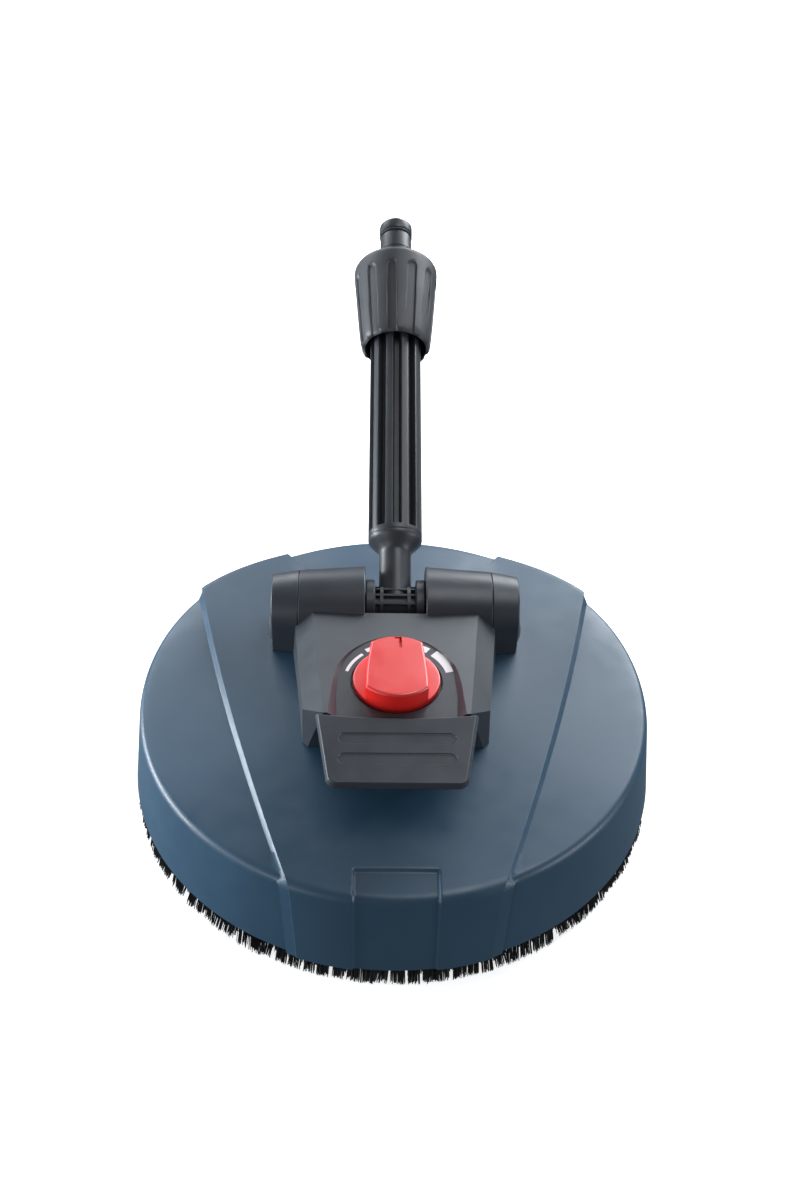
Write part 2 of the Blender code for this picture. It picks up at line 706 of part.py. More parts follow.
def make_lance_hub():
    """The drum with its two ears and journals, and the neck that widens into the tube."""
    inner_end = BARREL_X[0] - 0.4
    profile = [(0, 30), (JOURNAL_R, 30), (JOURNAL_R, inner_end), (EAR_R, inner_end)]
    profile += [(EAR_R, DRUM_R), (DRUM_R, DRUM_R)]
    mirrored = [(r, -x) for r, x in reversed(profile)]
    drum = turned("lance_hub", profile + mirrored, 28, False, Matrix.Rotation(math.pi / 2, 4, "Y"))
    neck = [(0, TUBE_START), (TUBE_R, TUBE_START), (TUBE_R, TUBE_START - 1.2)]
    neck += [(NECK_R + 1.4, 36.2), (NECK_R, 34.2), (NECK_R, 4.0), (0, 4.0)]
    combine(drum, turned("neck", neck, 28), "UNION", LANCE)
    paint(adopt(drum, LANCE), BLACK, 0.5)


def tube_outline():
    """Cross-section of the fluted tube: ten ribs with deep channels between them."""
    outline = []
    pitch = 360 / RIBS
    for index in range(RIBS):
        middle = 90 + pitch * (index + 0.58)
        outline += arc(TUBE_R, middle - 8.5, middle + 8.5, 2)
        outline += arc(CHANNEL_R, middle + 10.0, middle + pitch - 10.0, 1)
    return outline


def make_lance_tube():
    tube = prism("lance_tube", [tube_outline()], TUBE_START + 1.5, 232.0)
    combine(tube, rod("tube_flange", TUBE_R, TUBE_START + GAP, TUBE_START + 3.6, 40), "UNION", LANCE)
    combine(tube, rod("tube_bore", 5.2, 30, 260, 16), "DIFFERENCE", LANCE)
    paint(adopt(tube, LANCE), BLACK, 0.5)
    pipe = rod("water_pipe", 4.7, TUBE_START + 0.8, 268.0, 16)
    paint(adopt(pipe, LANCE), STEEL, 0.3, 1.0)
    retainer = ring("collar_retainer", TUBE_R + GAP, 20.0, 222.0, 225.0, 32)
    paint(adopt(retainer, LANCE), DARK, 0.5)


def make_nipple():
    """The inlet: a bored plug with a head, an O-ring groove and a long shank."""
    loop = [
        (5.2, NIPPLE_END),
        (8.9, NIPPLE_END),
        (NIPPLE_R, NIPPLE_END - 1.2),
        (NIPPLE_R, 272.5),
        (9.0, 272.5),
        (9.0, 269.8),
        (10.3, 269.8),
        (10.3, 237.8),
        (14.0, 237.8),
        (14.0, 232.6),
        (5.2, 232.6),
    ]
    paint(adopt(turned("inlet_nipple", loop, 24, True), LANCE), BLACK, 0.5)
    section = arc(0.8, 0, -300, 5, (10.1, 271.15))
    paint(adopt(turned("nipple_o_ring", section, 24, True), LANCE), RUBBER, 0.6)


def make_collar():
    """The bayonet collar: a flared sleeve, open below, that turns on the nipple's shank."""
    end = COLLAR_END
    loop = [
        (10.7, end),
        (25.6, end),
        (27.1, end - 2.0),
        (24.4, 204.0),
        (22.7, 188.0),
        (21.2, 181.8),
        (20.2, COLLAR_START),
        (18.8, COLLAR_START),
        (20.3, 190.0),
        (22.0, 204.0),
        (24.4, end - 4.2),
        (10.7, end - 3.4),
    ]
    paint(adopt(turned("bayonet_collar", loop, 32, True), COLLAR), BLACK, 0.5)


# ---------------------------------------------------------------- assembly

clear_scene()
PARTS = new_collection("surface_cleaner")
TOOLS = new_collection("cutters")
ROOT = axis_empty("deck_frame", (0, DECK_Y, 0))
ROTOR = axis_empty("rotor_axis", (0, 0, 0), ROOT)
KNOB = axis_empty("knob_axis", (0, KNOB_Y, 0), ROOT)
PEDAL = axis_empty("pedal_axis", (0, *PEDAL_PIVOT), ROOT)
LANCE = axis_empty("lance_axis", (0, PIVOT_Y, PIVOT_Z), ROOT, LANCE_ANGLE - math.pi / 2)
COLLAR = axis_empty("collar_axis", (0, 0, 0), LANCE)

make_deck_shell()
make_brush()
make_cover()
make_caps()
make_bushes()
make_valve()
make_feed_elbow()
make_swivel()
make_screws()
make_rotor()
make_knob()
make_pedal()
make_lance_hub()
make_lance_tube()
make_nipple()
make_collar()
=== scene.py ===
import json
import math
import random

import bmesh
import bpy
from mathutils import Matrix, Vector


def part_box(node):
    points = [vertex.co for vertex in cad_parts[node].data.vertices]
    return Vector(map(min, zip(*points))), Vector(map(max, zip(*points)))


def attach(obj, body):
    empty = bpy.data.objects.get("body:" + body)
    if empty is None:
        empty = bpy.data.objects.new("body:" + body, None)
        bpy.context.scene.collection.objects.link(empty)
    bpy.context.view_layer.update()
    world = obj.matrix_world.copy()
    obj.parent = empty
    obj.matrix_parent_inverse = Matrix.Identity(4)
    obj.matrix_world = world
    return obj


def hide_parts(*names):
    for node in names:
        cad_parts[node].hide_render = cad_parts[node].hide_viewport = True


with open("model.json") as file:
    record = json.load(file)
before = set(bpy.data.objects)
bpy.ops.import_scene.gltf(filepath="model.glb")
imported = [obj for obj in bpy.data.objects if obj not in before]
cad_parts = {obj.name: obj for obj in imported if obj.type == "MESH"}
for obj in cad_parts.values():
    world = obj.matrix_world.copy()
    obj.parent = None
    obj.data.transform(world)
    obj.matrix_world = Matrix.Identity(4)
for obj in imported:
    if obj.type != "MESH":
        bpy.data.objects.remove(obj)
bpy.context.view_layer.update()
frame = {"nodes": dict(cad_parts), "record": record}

MM = 0.001

# All lengths below are in millimetres from the deck's centre on the floor; DECK puts them in the frame.
deck_low, deck_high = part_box("deck_shell")
deck_x, deck_y = (deck_low.x + deck_high.x) / 2, (deck_low.y + deck_high.y) / 2
DECK = Matrix.Translation((deck_x, deck_y, 0)) @ Matrix.Scale(MM, 4)

# The lance's hinge line runs along X through (PIVOT_Y, PIVOT_Z); LANCE has its Z axis along the lance.
PIVOT_Y, PIVOT_Z = 41.5, 88.7
LEAN = math.radians(25.7)
LANCE = DECK @ Matrix.Translation((0, PIVOT_Y, PIVOT_Z)) @ Matrix.Rotation(LEAN - math.pi / 2, 4, "X")

# Deck: rim, shoulder, the fillet between dome and skirt, and the dome's height over the shoulder.
RIM_R, RIM_Z = 150.0, 12.0
SHOULDER_R, SHOULDER_Z = 144.2, 59.0
FILLET = 6.0
FILLET_R, FILLET_Z, FILLET_START, FILLET_END = SHOULDER_R - FILLET, 53.85, 81.5, 7.0
FLAT_END = FILLET_R + FILLET * math.cos(math.radians(FILLET_START))
DOME_RISE = 11.2
HUB_HOLE_R = 22.35

# Raised centre band: lift at the middle, slope to the back, extra at its back corners, and how far
# it stands out of the skirt. SIDE_RISE lifts the side panels towards the back.
BAND_LIFT, BAND_SLOPE, BAND_CORNER_RISE = 2.6, 0.009, 8.3
BAND_PROUD, FRONT_PROUD = 1.0, 1.2
SIDE_RISE = 5.5
PANEL_FRONT, PANEL_BACK = -127.0, 66.0
PANEL_FRONT_HALF, PANEL_BACK_HALF = 21.0, 33.0
EDGE_SOFT = 0.9
EDGE_OFFSETS = (-3.0, -1.5, -0.9, -0.55, -0.4, -0.2)
BAND_ROOT = 0.9

# Controls: the knob's axis, and (half width, y, z) of the foot plate's back and front edges.
KNOB_Y = -34.0
KNOB_R, KNOB_BASE, KNOB_WING, KNOB_TOP = 23.0, 100.1, 103.8, 113.2
PEDAL_BACK = (40.4, -63.2, 105.7)
PEDAL_FRONT = (34.3, -102.3, 98.0)
PEDAL_PIN_Y, PEDAL_PIN_Z = -55.0, 93.0

# Lance: tube, ribs, and the sleeve of the bayonet collar.
BORE_R = 5.2
TUBE_R = 16.0
RIBS, RIB_TURN = 10, 291.0
DRUM_BARS = 14
COLLAR_RECESSES = 12

BRISTLE_ROOT_Z, BRISTLE_MIDDLE_Z, BRISTLE_MAX_R = 15.5, 7.0, 150.6


# ---------------------------------------------------------------- materials

GRAIN_SCALE, GRAIN_DEPTH = 2600.0, 0.00006
LINE_DEPTH = 0.00003


def node_material(name):
    """A new node material, its tree and its Principled shader."""
    material = bpy.data.materials.new(name)
    material.use_nodes = True
    tree = material.node_tree
    shader = tree.nodes["Principled BSDF"]
    return material, tree, shader


def noise(tree, scale, detail, stretch=None):
    """A noise value over the piece's own coordinates, stretched along one axis if asked."""
    coords = tree.nodes.new("ShaderNodeTexCoord")
    texture = tree.nodes.new("ShaderNodeTexNoise")
    texture.inputs["Scale"].default_value = scale
    texture.inputs["Detail"].default_value = detail
    if stretch:
        mapping = tree.nodes.new("ShaderNodeMapping")
        mapping.inputs["Scale"].default_value = stretch
        tree.links.new(coords.outputs["Object"], mapping.inputs["Vector"])
        tree.links.new(mapping.outputs["Vector"], texture.inputs["Vector"])
    else:
        tree.links.new(coords.outputs["Object"], texture.inputs["Vector"])
    return texture.outputs["Fac"]


def spread(tree, value, low, high, to_low, to_high):
    """A value mapped from one range to another, clamped."""
    ramp = tree.nodes.new("ShaderNodeMapRange")
    ramp.inputs["From Min"].default_value = low
    ramp.inputs["From Max"].default_value = high
    ramp.inputs["To Min"].default_value = to_low
    ramp.inputs["To Max"].default_value = to_high
    tree.links.new(value, ramp.inputs["Value"])
    return ramp.outputs["Result"]


def blend_colours(tree, factor, first, second):
    """A colour between two, by a value from 0 to 1."""
    mix = tree.nodes.new("ShaderNodeMix")
    mix.data_type = "RGBA"
    mix.inputs["A"].default_value = (*first, 1)
    mix.inputs["B"].default_value = (*second, 1)
    tree.links.new(factor, mix.inputs["Factor"])
    return mix.outputs["Result"]


def grained(tree, shader, height, strength, depth):
    """Bump from a height value; depth in metres."""
    bump = tree.nodes.new("ShaderNodeBump")
    bump.inputs["Strength"].default_value = strength
    bump.inputs["Distance"].default_value = depth
    tree.links.new(height, bump.inputs["Height"])
    tree.links.new(bump.outputs["Normal"], shader.inputs["Normal"])


def moulded(name, dark, light, roughness, grain=0.35, specular=0.5):
    """Moulded plastic: fine spark-eroded grain, faint flow marks in the colour, uneven sheen."""
    material, tree, shader = node_material(name)
    clouds = noise(tree, 26.0, 4.0)
    colour = blend_colours(tree, spread(tree, clouds, 0.32, 0.68, 0.0, 1.0), dark, light)
    tree.links.new(colour, shader.inputs["Base Color"])
    sheen_noise = noise(tree, 75.0, 5.0)
    fine = noise(tree, GRAIN_SCALE, 2.0)
    rough = spread(tree, sheen_noise, 0.3, 0.7, roughness - 0.05, roughness + 0.05)
    tree.links.new(rough, shader.inputs["Roughness"])
    grained(tree, shader, fine, grain, GRAIN_DEPTH)
    shader.inputs["Specular IOR Level"].default_value = specular
    return material


def metal(name, colour, roughness, stretch):
    """Machined or drawn metal with fine lines."""
    material, tree, shader = node_material(name)
    lines = noise(tree, 900.0, 3.0, stretch)
    shade = tuple(c * 0.72 for c in colour)
    tint = blend_colours(tree, spread(tree, lines, 0.3, 0.7, 0, 1), shade, colour)
    rough = spread(tree, lines, 0.3, 0.7, roughness - 0.07, roughness + 0.1)
    tree.links.new(tint, shader.inputs["Base Color"])
    tree.links.new(rough, shader.inputs["Roughness"])
    grained(tree, shader, lines, 0.25, LINE_DEPTH)
    shader.inputs["Metallic"].default_value = 1.0
    return material


BLUE = moulded("deck_blue_plastic", (0.021, 0.062, 0.108), (0.026, 0.070, 0.120), 0.42)
BLACK = moulded("housing_black_plastic", (0.027, 0.032, 0.041), (0.032, 0.038, 0.048), 0.42)
PEDAL = moulded("pedal_black_plastic", (0.028, 0.033, 0.042), (0.033, 0.039, 0.049), 0.40)
TUBE = moulded("lance_black_plastic", (0.027, 0.031, 0.037), (0.032, 0.037, 0.043), 0.42)
COLLAR = moulded("collar_black_plastic", (0.036, 0.039, 0.045), (0.042, 0.045, 0.052), 0.5)
RED = moulded("knob_red_plastic", (0.78, 0.014, 0.010), (0.84, 0.018, 0.013), 0.34, specular=0.9)
INNER = moulded("inner_black_plastic", (0.012, 0.012, 0.013), (0.018, 0.018, 0.019), 0.55)
RUBBER = moulded("seal_rubber", (0.010, 0.010, 0.010), (0.014, 0.014, 0.014), 0.62, 0.6)
BRISTLE = moulded("bristle_nylon", (0.010, 0.010, 0.011), (0.034, 0.034, 0.037), 0.45, specular=0.45)
PRINT = moulded("printed_white", (0.82, 0.82, 0.82), (0.86, 0.86, 0.86), 0.5, 0.15)
STEEL = metal("stainless_steel", (0.60, 0.61, 0.63), 0.30, (1, 1, 8))
BRASS = metal("machined_brass", (0.62, 0.44, 0.17), 0.28, (1, 1, 8))

SLOT_LOOKS = {
    "deck_blue": BLUE,
    "housing_black": BLACK,
    "pedal_black": PEDAL,
    "lance_black": TUBE,
    "collar_black": COLLAR,
    "knob_red": RED,
    "bristle": BRISTLE,
    "inner_plastic": INNER,
    "rubber_seal": RUBBER,
    "steel": STEEL,
    "brass": BRASS,
}


def paint_frame():
    """Gives each CAD node that stays in view its finish."""
    for part in frame["record"]["subparts"]:
        node = frame["nodes"][part["node"]]
        node.data.materials.clear()
        node.data.materials.append(SLOT_LOOKS[part["material_slot"]])


# ---------------------------------------------------------------- mesh helpers


def arc(radius, start, stop, steps, centre=(0.0, 0.0)):
    """Points on an arc, angles in degrees."""
    angles = [math.radians(start + (stop - start) * i / steps) for i in range(steps + 1)]
    return [(centre[0] + radius * math.cos(a), centre[1] + radius * math.sin(a)) for a in angles]


def ramp(value, low, high):
    """Smooth step from 0 at low to 1 at high."""
    t = min(max((value - low) / (high - low), 0.0), 1.0)
    return t * t * (3 - 2 * t)


def solid(name, verts, faces, place):
    """A mesh object from lists in millimetres, welded, with its faces turned outwards."""
    mesh = bpy.data.meshes.new(name)
    mesh.from_pydata([tuple(v) for v in verts], [], faces)
    bm = bmesh.new()
    bm.from_mesh(mesh)
    bmesh.ops.remove_doubles(bm, verts=bm.verts, dist=0.0005)
    bmesh.ops.dissolve_degenerate(bm, edges=bm.edges, dist=0.0004)
    bmesh.ops.recalc_face_normals(bm, faces=bm.faces)
    if bm.calc_volume(signed=True) < 0:
        bmesh.ops.reverse_faces(bm, faces=bm.faces)
    bm.transform(place)
    bm.to_mesh(mesh)
    bm.free()
    return linked(name, mesh)


def linked(name, data):
    """A new object with the given data, in the scene."""
    obj = bpy.data.objects.new(name, data)
    bpy.context.scene.collection.objects.link(obj)
    return obj


def grid_faces(rows, columns, closed_rows=False, closed_columns=False, start=0):
    """Quads between neighbouring points of a grid, wrapped round where it is closed."""
    faces = []
    for i in range(rows if closed_rows else rows - 1):
        for j in range(columns if closed_columns else columns - 1):
            a = start + i * columns + j
            b = start + i * columns + (j + 1) % columns
            c = start + (i + 1) % rows * columns + (j + 1) % columns
            d = start + (i + 1) % rows * columns + j
            faces.append((a, b, c, d))
    return faces


def lathe(name, profile, sides, place, closed=False):
    """A profile of (radius, height) turned round Z; a closed profile makes a ring."""
    verts = []
    for k in range(sides):
        a = 2 * math.pi * k / sides
        verts += [(r * math.cos(a), r * math.sin(a), z) for r, z in profile]
    faces = grid_faces(sides, len(profile), True, closed)
    if not closed:
        for end in (0, len(profile) - 1):
            if profile[end][0] > 1e-6:
                faces.append(tuple(k * len(profile) + end for k in range(sides)))
    return solid(name, verts, faces, place)


def loft(name, rings, place):
    """A closed body through rings of 3-D points with flat ends."""
    count = len(rings[0])
    verts = [p for ring in rings for p in ring]
    faces = grid_faces(len(rings), count, False, True)
    faces.append(tuple(range(count)))
    faces.append(tuple(range((len(rings) - 1) * count, len(rings) * count)))
    return solid(name, verts, faces, place)


def grown(outline, amount):
    """A plan outline moved outwards, or inwards when negative, corner by corner."""
    following = outline[1:] + outline[:1]
    area = sum(x * ny - nx * y for (x, y), (nx, ny) in zip(outline, following))
    sign = 1 if area > 0 else -1
    out = []
    for i, (x, y) in enumerate(outline):
        px, py = outline[i - 1]
        nx, ny = following[i]
        a = Vector((y - py, px - x)).normalized() * sign
        b = Vector((ny - y, x - nx)).normalized() * sign
        middle = a + b
        scale = amount / max(middle.length_squared / 2, 0.35)
        out.append((x + middle.x * scale, y + middle.y * scale))
    return out


def puck(name, outline, low, high, rounding, place):
    """An outline raised from low to high, with a rounded upper edge."""
    steps = 4
    layers = [[(x, y, low) for x, y in outline]]
    if rounding <= 0:
        layers.append([(x, y, high) for x, y in outline])
        return loft(name, layers, place)
    for k in range(steps, -1, -1):
        a = math.pi / 2 * k / steps
        z = high - rounding * (1 - math.cos(a))
        layers.append([(x, y, z) for x, y in grown(outline, -rounding * (1 - math.sin(a)))])
    return loft(name, layers, place)


def rounded_rect(half_x, half_y, radius, centre):
    """The outline of a rectangle with round corners."""
    cx, cy = centre
    points = []
    for sx, sy, start in ((1, 1, 0), (-1, 1, 90), (-1, -1, 180), (1, -1, 270)):
        corner = (cx + sx * (half_x - radius), cy + sy * (half_y - radius))
        points += arc(radius, start, start + 90, 4, corner)
    return points


def settled(obj):
    """Applies every modifier to the object's mesh."""
    graph = bpy.context.evaluated_depsgraph_get()
    graph.update()
    mesh = bpy.data.meshes.new_from_object(obj.evaluated_get(graph))
    obj.modifiers.clear()
    obj.data = mesh


def carve(obj, tools, operation="DIFFERENCE"):
    """Applies an exact Boolean with each tool, then removes the tools."""
    for tool in tools:
        modifier = obj.modifiers.new("Boolean", "BOOLEAN")
        modifier.operation = operation
        modifier.solver = "EXACT"
        modifier.object = tool
    settled(obj)
    for tool in tools:
        bpy.data.objects.remove(tool, do_unlink=True)
    bm = bmesh.new()
    bm.from_mesh(obj.data)
    bmesh.ops.remove_doubles(bm, verts=bm.verts, dist=0.000002)
    bm.to_mesh(obj.data)
    bm.free()


def spot(x, y, z=0.0):
    """A place on the deck with upright axes."""
    return DECK @ Matrix.Translation((x, y, z))


def along_x(side=1.0, y=PIVOT_Y, z=PIVOT_Z):
    """A place whose Z axis points along X, outwards on the given side."""
    return spot(0, y, z) @ Matrix.Rotation(side * math.pi / 2, 4, "Y")


def box_tool(name, low, high):
    """A box between two corners, to cut or to join."""
    corners = [(low[0], low[1]), (high[0], low[1]), (high[0], high[1]), (low[0], high[1])]
    return loft(name, [[(x, y, z) for x, y in corners] for z in (low[2], high[2])], DECK)


def plug(name, radius, low, high, sides, place):
    """A plain cylinder from low to high, to cut a hole."""
    return lathe(name, [(0, low), (radius, low), (radius, high), (0, high)], sides, place)


def piece(obj, body, slot, look=None, replaces=(), angle=32, flat_faces=False):
    """Finishes a piece: smooth shading, its look, its body and the CAD nodes it stands for."""
    obj.data.shade_smooth()
    obj.data.set_sharp_from_angle(angle=math.radians(angle))
    if flat_faces:
        weighted = obj.modifiers.new("Weighted Normal", "WEIGHTED_NORMAL")
        weighted.keep_sharp = True
        weighted.weight = 80
        settled(obj)
    obj.data.materials.clear()
    obj.data.materials.append(look or SLOT_LOOKS[slot])
    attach(obj, body)
    if replaces:
        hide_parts(*replaces)


# ---------------------------------------------------------------- deck


def dome_z(radius, lift=0.0):
    """Height of the domed top at a radius."""
    return SHOULDER_Z + DOME_RISE * (1 - (radius / SHOULDER_R) ** 2) + lift


def band_half(y):
    """Half width of the raised centre band."""
    return 97.5 + 0.2816 * y - 0.000354 * y * y


def panel_half(y):
    """Half width of the recessed panels at the front and back of the band."""
    if y < -100:
        return PANEL_FRONT_HALF
    if y > 60:
        return PANEL_BACK_HALF + (y - PANEL_BACK) * 0.583
    return PANEL_FRONT_HALF + 8.5 * ramp(y, -100, 60)


def band_lift(x, y):
    """Height of the centre band over the dome: most at the band's two back corners."""
    corner = min(max((abs(x) - 62.0) / 54.0, 0.0), 1.0) ** 1.3 * ramp(y, -60, 80)
    return BAND_LIFT + BAND_SLOPE * y + BAND_CORNER_RISE * corner


def side_rise(x, y):
    """Height of the side panels over the dome: they climb to the back near the shoulder."""
    return SIDE_RISE * ramp(y, -60, 70) * ramp(math.hypot(x, y), 75, 138) * ramp(abs(x), 70, 100)


def fade(z):
    """Weight of a rise at a height: none at the rim, all of it at the shoulder."""
    return min(max((z - RIM_Z) / (SHOULDER_Z - RIM_Z), 0.0), 1.0)


def edge_profile(steps_fillet=8, steps_skirt=8):
    """(radius, height, normal's angle) down the fillet and the skirt, from the dome's edge to the rim."""
    stations = []
    for i in range(steps_fillet + 1):
        a = math.radians(FILLET_START + (FILLET_END - FILLET_START) * i / steps_fillet)
        stations.append((FILLET_R + FILLET * math.cos(a), FILLET_Z + FILLET * math.sin(a), a))
    r0, z0, a0 = stations[-1]
    for i in range(1, steps_skirt + 1):
        t = i / steps_skirt
        stations.append((r0 + (RIM_R - r0) * t, z0 + (RIM_Z - z0) * t, a0))
    return stations


def crossing(column, radius, back):
    """Where a column's curve meets a circle round the deck's centre: the y of that point."""
    y = radius if back else -radius
    for _ in range(60):
        x = min(column(y), radius * 0.999)
        target = math.sqrt(radius * radius - x * x)
        y = 0.5 * y + 0.5 * (target if back else -target)
    return y


def band_columns():
    """The band's right half as curves from front to back, in order across it.

    Each is a function from y to x, and how far it lies from the panel (0) to the band's edge (1)."""
    columns = [(lambda y, t=t: panel_half(y) * t, 0.0) for t in (0.0, 0.15, 0.3, 0.45, 0.6, 0.72, 0.82)]
    for offset in (-2.2, -1.3, -EDGE_SOFT, -0.45, 0.0, 0.45, EDGE_SOFT, 1.3, 2.2):
        columns.append((lambda y, o=offset: panel_half(y) + o, 0.0))
    for step in range(1, 22):
        t = step / 22
        columns.append((lambda y, t=t: (panel_half(y) + 2.2) * (1 - t) + (band_half(y) - 2.0) * t, t))
    for offset in EDGE_OFFSETS:
        columns.append((lambda y, o=offset: band_half(y) + o, 1.0))
    return columns


def edge_fall(index, total):
    """Share of the band's thickness that its two outermost columns lie under its top."""
    return {total - 1: 0.13, total - 2: 0.03}.get(index, 0.0)


def panel_depth(x, y):
    """Depth of the recessed panels below the band."""
    inside = 1 - ramp(abs(x) - panel_half(y), -EDGE_SOFT, EDGE_SOFT)
    front = 1.25 * (1 - ramp(y, PANEL_FRONT - EDGE_SOFT, PANEL_FRONT + EDGE_SOFT))
    back = 2.4 * ramp(y, PANEL_BACK - EDGE_SOFT, PANEL_BACK + EDGE_SOFT)
    return inside * (front + back)


def panel_front(y_front, reach):
    """Where a column gets its extra points: at the panel's edge, or near the shoulder further out."""
    y_panel = PANEL_FRONT * (1 - reach) + (y_front + 5.0) * reach
    return max(y_panel, y_front + 2.4)


def band_levels(y_back, y_front, y_panel):
    """The y of each point across the top, closest together at the panels' edges."""
    levels = [y_back + (68.0 - y_back) * i / 14 for i in range(14)]
    levels += [68.0, 66.9, 66.45, 66.0, 65.55, 65.1, 64.0]
    levels += [64.0 + (y_panel + 1.8 - 64.0) * i / 40 for i in range(1, 40)]
    levels += [y_panel + d for d in (1.8, 0.9, 0.45, 0.0, -0.45, -0.9, -1.6)]
    return levels + [y_panel - 1.6 + (y_front - y_panel + 1.6) * i / 5 for i in range(1, 5)]


def band_rows(column, reach):
    """(x, y, height or None on top, normal's angle) along a column from the back rim to the front rim."""
    y_back = crossing(column, FLAT_END, True)
    y_front = crossing(column, FLAT_END, False)
    stations = []
    for r, z, a in reversed(edge_profile()[1:]):
        y = crossing(column, r, True)
        stations.append((column(y), y, z, a))
    for y in band_levels(y_back, y_front, panel_front(y_front, reach)):
        stations.append((column(y), y, None, math.pi / 2))
    for r, z, a in edge_profile():
        r += FRONT_PROUD * math.cos(a)
        y = crossing(column, r, False)
        stations.append((column(y), y, z, a))
    return stations


def wall_width(y, a):
    """Width of the band's sloped side wall: wider down the skirt in front, narrower at the back."""
    if y > 0:
        return 2.3 - 1.5 * ramp(math.cos(a), 0.02, 0.3)
    return 2.3 + 2.3 * ramp(math.cos(a), 0.2, 0.8)


def band_point(station, fall_share, outermost):
    """The point on the band's surface and the one under it, inside the deck's wall."""
    x, y, z, a = station
    r = math.hypot(x, y)
    lift = band_lift(x, y)
    weight = 1.0
    if z is None:
        z = dome_z(r, lift)
    else:
        weight = fade(z)
        z += lift * weight
    normal = Vector((0, 0, 1))
    if r > 1:
        normal = Vector((math.cos(a) * x / r, math.cos(a) * y / r, math.sin(a)))
    proud = BAND_PROUD + (FRONT_PROUD if y < 0 else 0.0)
    sunk = proud * math.cos(a) + math.sin(a) * (lift - side_rise(x, y) * weight) + 0.3
    depth = min(panel_depth(x, y), sunk - 0.2)
    thickness = sunk + BAND_ROOT
    point = Vector((x, y, z))
    low = point - normal * thickness
    if outermost:
        low.x += math.copysign(wall_width(y, a) * thickness / sunk, x)
    return point - normal * (depth + fall_share * thickness), low


def band_solid():
    """The raised band as a closed slab that is let into the deck, with sloped, rounded sides."""
    half = band_columns()
    top, bottom = [], []
    order = [(-1, i) for i in range(len(half) - 1, 0, -1)] + [(1, i) for i in range(len(half))]
    for side, index in order:
        share = edge_fall(index, len(half))
        pairs = [band_point(row, share, index == len(half) - 1) for row in band_rows(*half[index])]
        top.append([Vector((side * p.x, p.y, p.z)) for p, _ in pairs])
        bottom.append([Vector((side * p.x, p.y, p.z)) for _, p in pairs])
    rows, count = len(top[0]), len(top)
    base = count * rows
    verts = [p for column in top + bottom for p in column]
    faces = grid_faces(count, rows) + grid_faces(count, rows, start=base)
    for j in range(rows - 1):
        for i in (0, count - 1):
            a = i * rows + j
            faces.append((a, a + 1, base + a + 1, base + a))
    for i in range(count - 1):
        for j in (0, rows - 1):
            a = i * rows + j
            faces.append((a, a + rows, base + a + rows, base + a))
    return solid("band", verts, faces, DECK)


def make_deck():
    """The moulded deck: side panels, raised band, rim, and the hollow underside."""
    rings = (22.4, 30, 40, 50, 60, 70, 80, 90, 98, 106, 114, 121, 127, 132, 136)
    outer = [(r, dome_z(r)) for r in rings]
    outer += [(r - math.cos(a), z) for r, z, a in edge_profile(10, 8)[:-1]]
    outer += [(148.95, 12.6), (148.75, 12.15), (148.3, 12.0), (147.5, 12.0), (147.0, 12.3)]
    inner = [(146.7, 14.0), (143.4, 40.0), (141.6, 52.6), (139.0, 55.4), (135.0, 57.2)]
    inner += [(r, dome_z(r) - 2.6) for r in (124, 110, 95, 80, 60, 40, 22.4)]
    deck = lathe("deck_shell_moulding", outer + inner, 240, Matrix.Identity(4), True)
    for vert in deck.data.vertices:
        x, y, z = vert.co
        vert.co.z += side_rise(x, y) * fade(z)
    deck.data.transform(DECK)
    carve(deck, [band_solid()], "UNION")
    carve(deck, [plug("hub_hole", HUB_HOLE_R, 40, 90, 96, DECK)])
    piece(deck, "deck", "deck_blue", replaces=["deck_shell"])


# ---------------------------------------------------------------- housing


# The front body's corner lines, as (half width, y, z) low down and high up.
HOUSING_BACK = ((59.6, 22.9, 58.0), (56.0, 22.9, 100.0))
HOUSING_FRONT = ((50.2, -48.6, 58.0), (47.0, -62.6, 106.0))
HOUSING_CHAMFER = 9.5
FRONT_CUT, FRONT_CUT_POINT = (0.752, -0.659), (37.4, -62.7)


def wall_corner(height, low, high):
    """Half width and y of the housing's corner at a height, on the line from low to high."""
    share = (height - low[2]) / (high[2] - low[2])
    return [a + (b - a) * share for a, b in zip(low[:2], high[:2])]


def housing_corners(inset, bottom, top_back, top_front):
    """(half width, y, z) of the block's corners, moved inwards by the inset."""
    corners = {}
    walls = (("back", HOUSING_BACK, top_back, -1.8), ("front", HOUSING_FRONT, top_front, 1.0))
    for word, (low, high), top, direction in walls:
        for level, z in (("low", bottom), ("high", top)):
            half, y = wall_corner(z, low, high)
            corners[word, level] = (half - inset, y + direction * inset, z)
    return corners


def is_shoulder(edge):
    """The block's upper edges that run from back to front."""
    first, second = edge.verts
    return first.co.z > 80 and second.co.z > 80 and abs(first.co.y - second.co.y) > 30


def cut_front_corners(bm, inset):
    """Takes the two upright front corners off, each at a slant."""
    for side in (-1, 1):
        normal = Vector((FRONT_CUT[0] * side, FRONT_CUT[1], 0.0))
        reach = normal.dot(Vector((side * (FRONT_CUT_POINT[0] - inset), FRONT_CUT_POINT[1] + inset, 0)))
        geom = list(bm.verts) + list(bm.edges) + list(bm.faces)
        bmesh.ops.bisect_plane(bm, geom=geom, plane_co=normal * reach, plane_no=normal, clear_outer=True)
        bmesh.ops.holes_fill(bm, edges=[e for e in bm.edges if e.is_boundary])


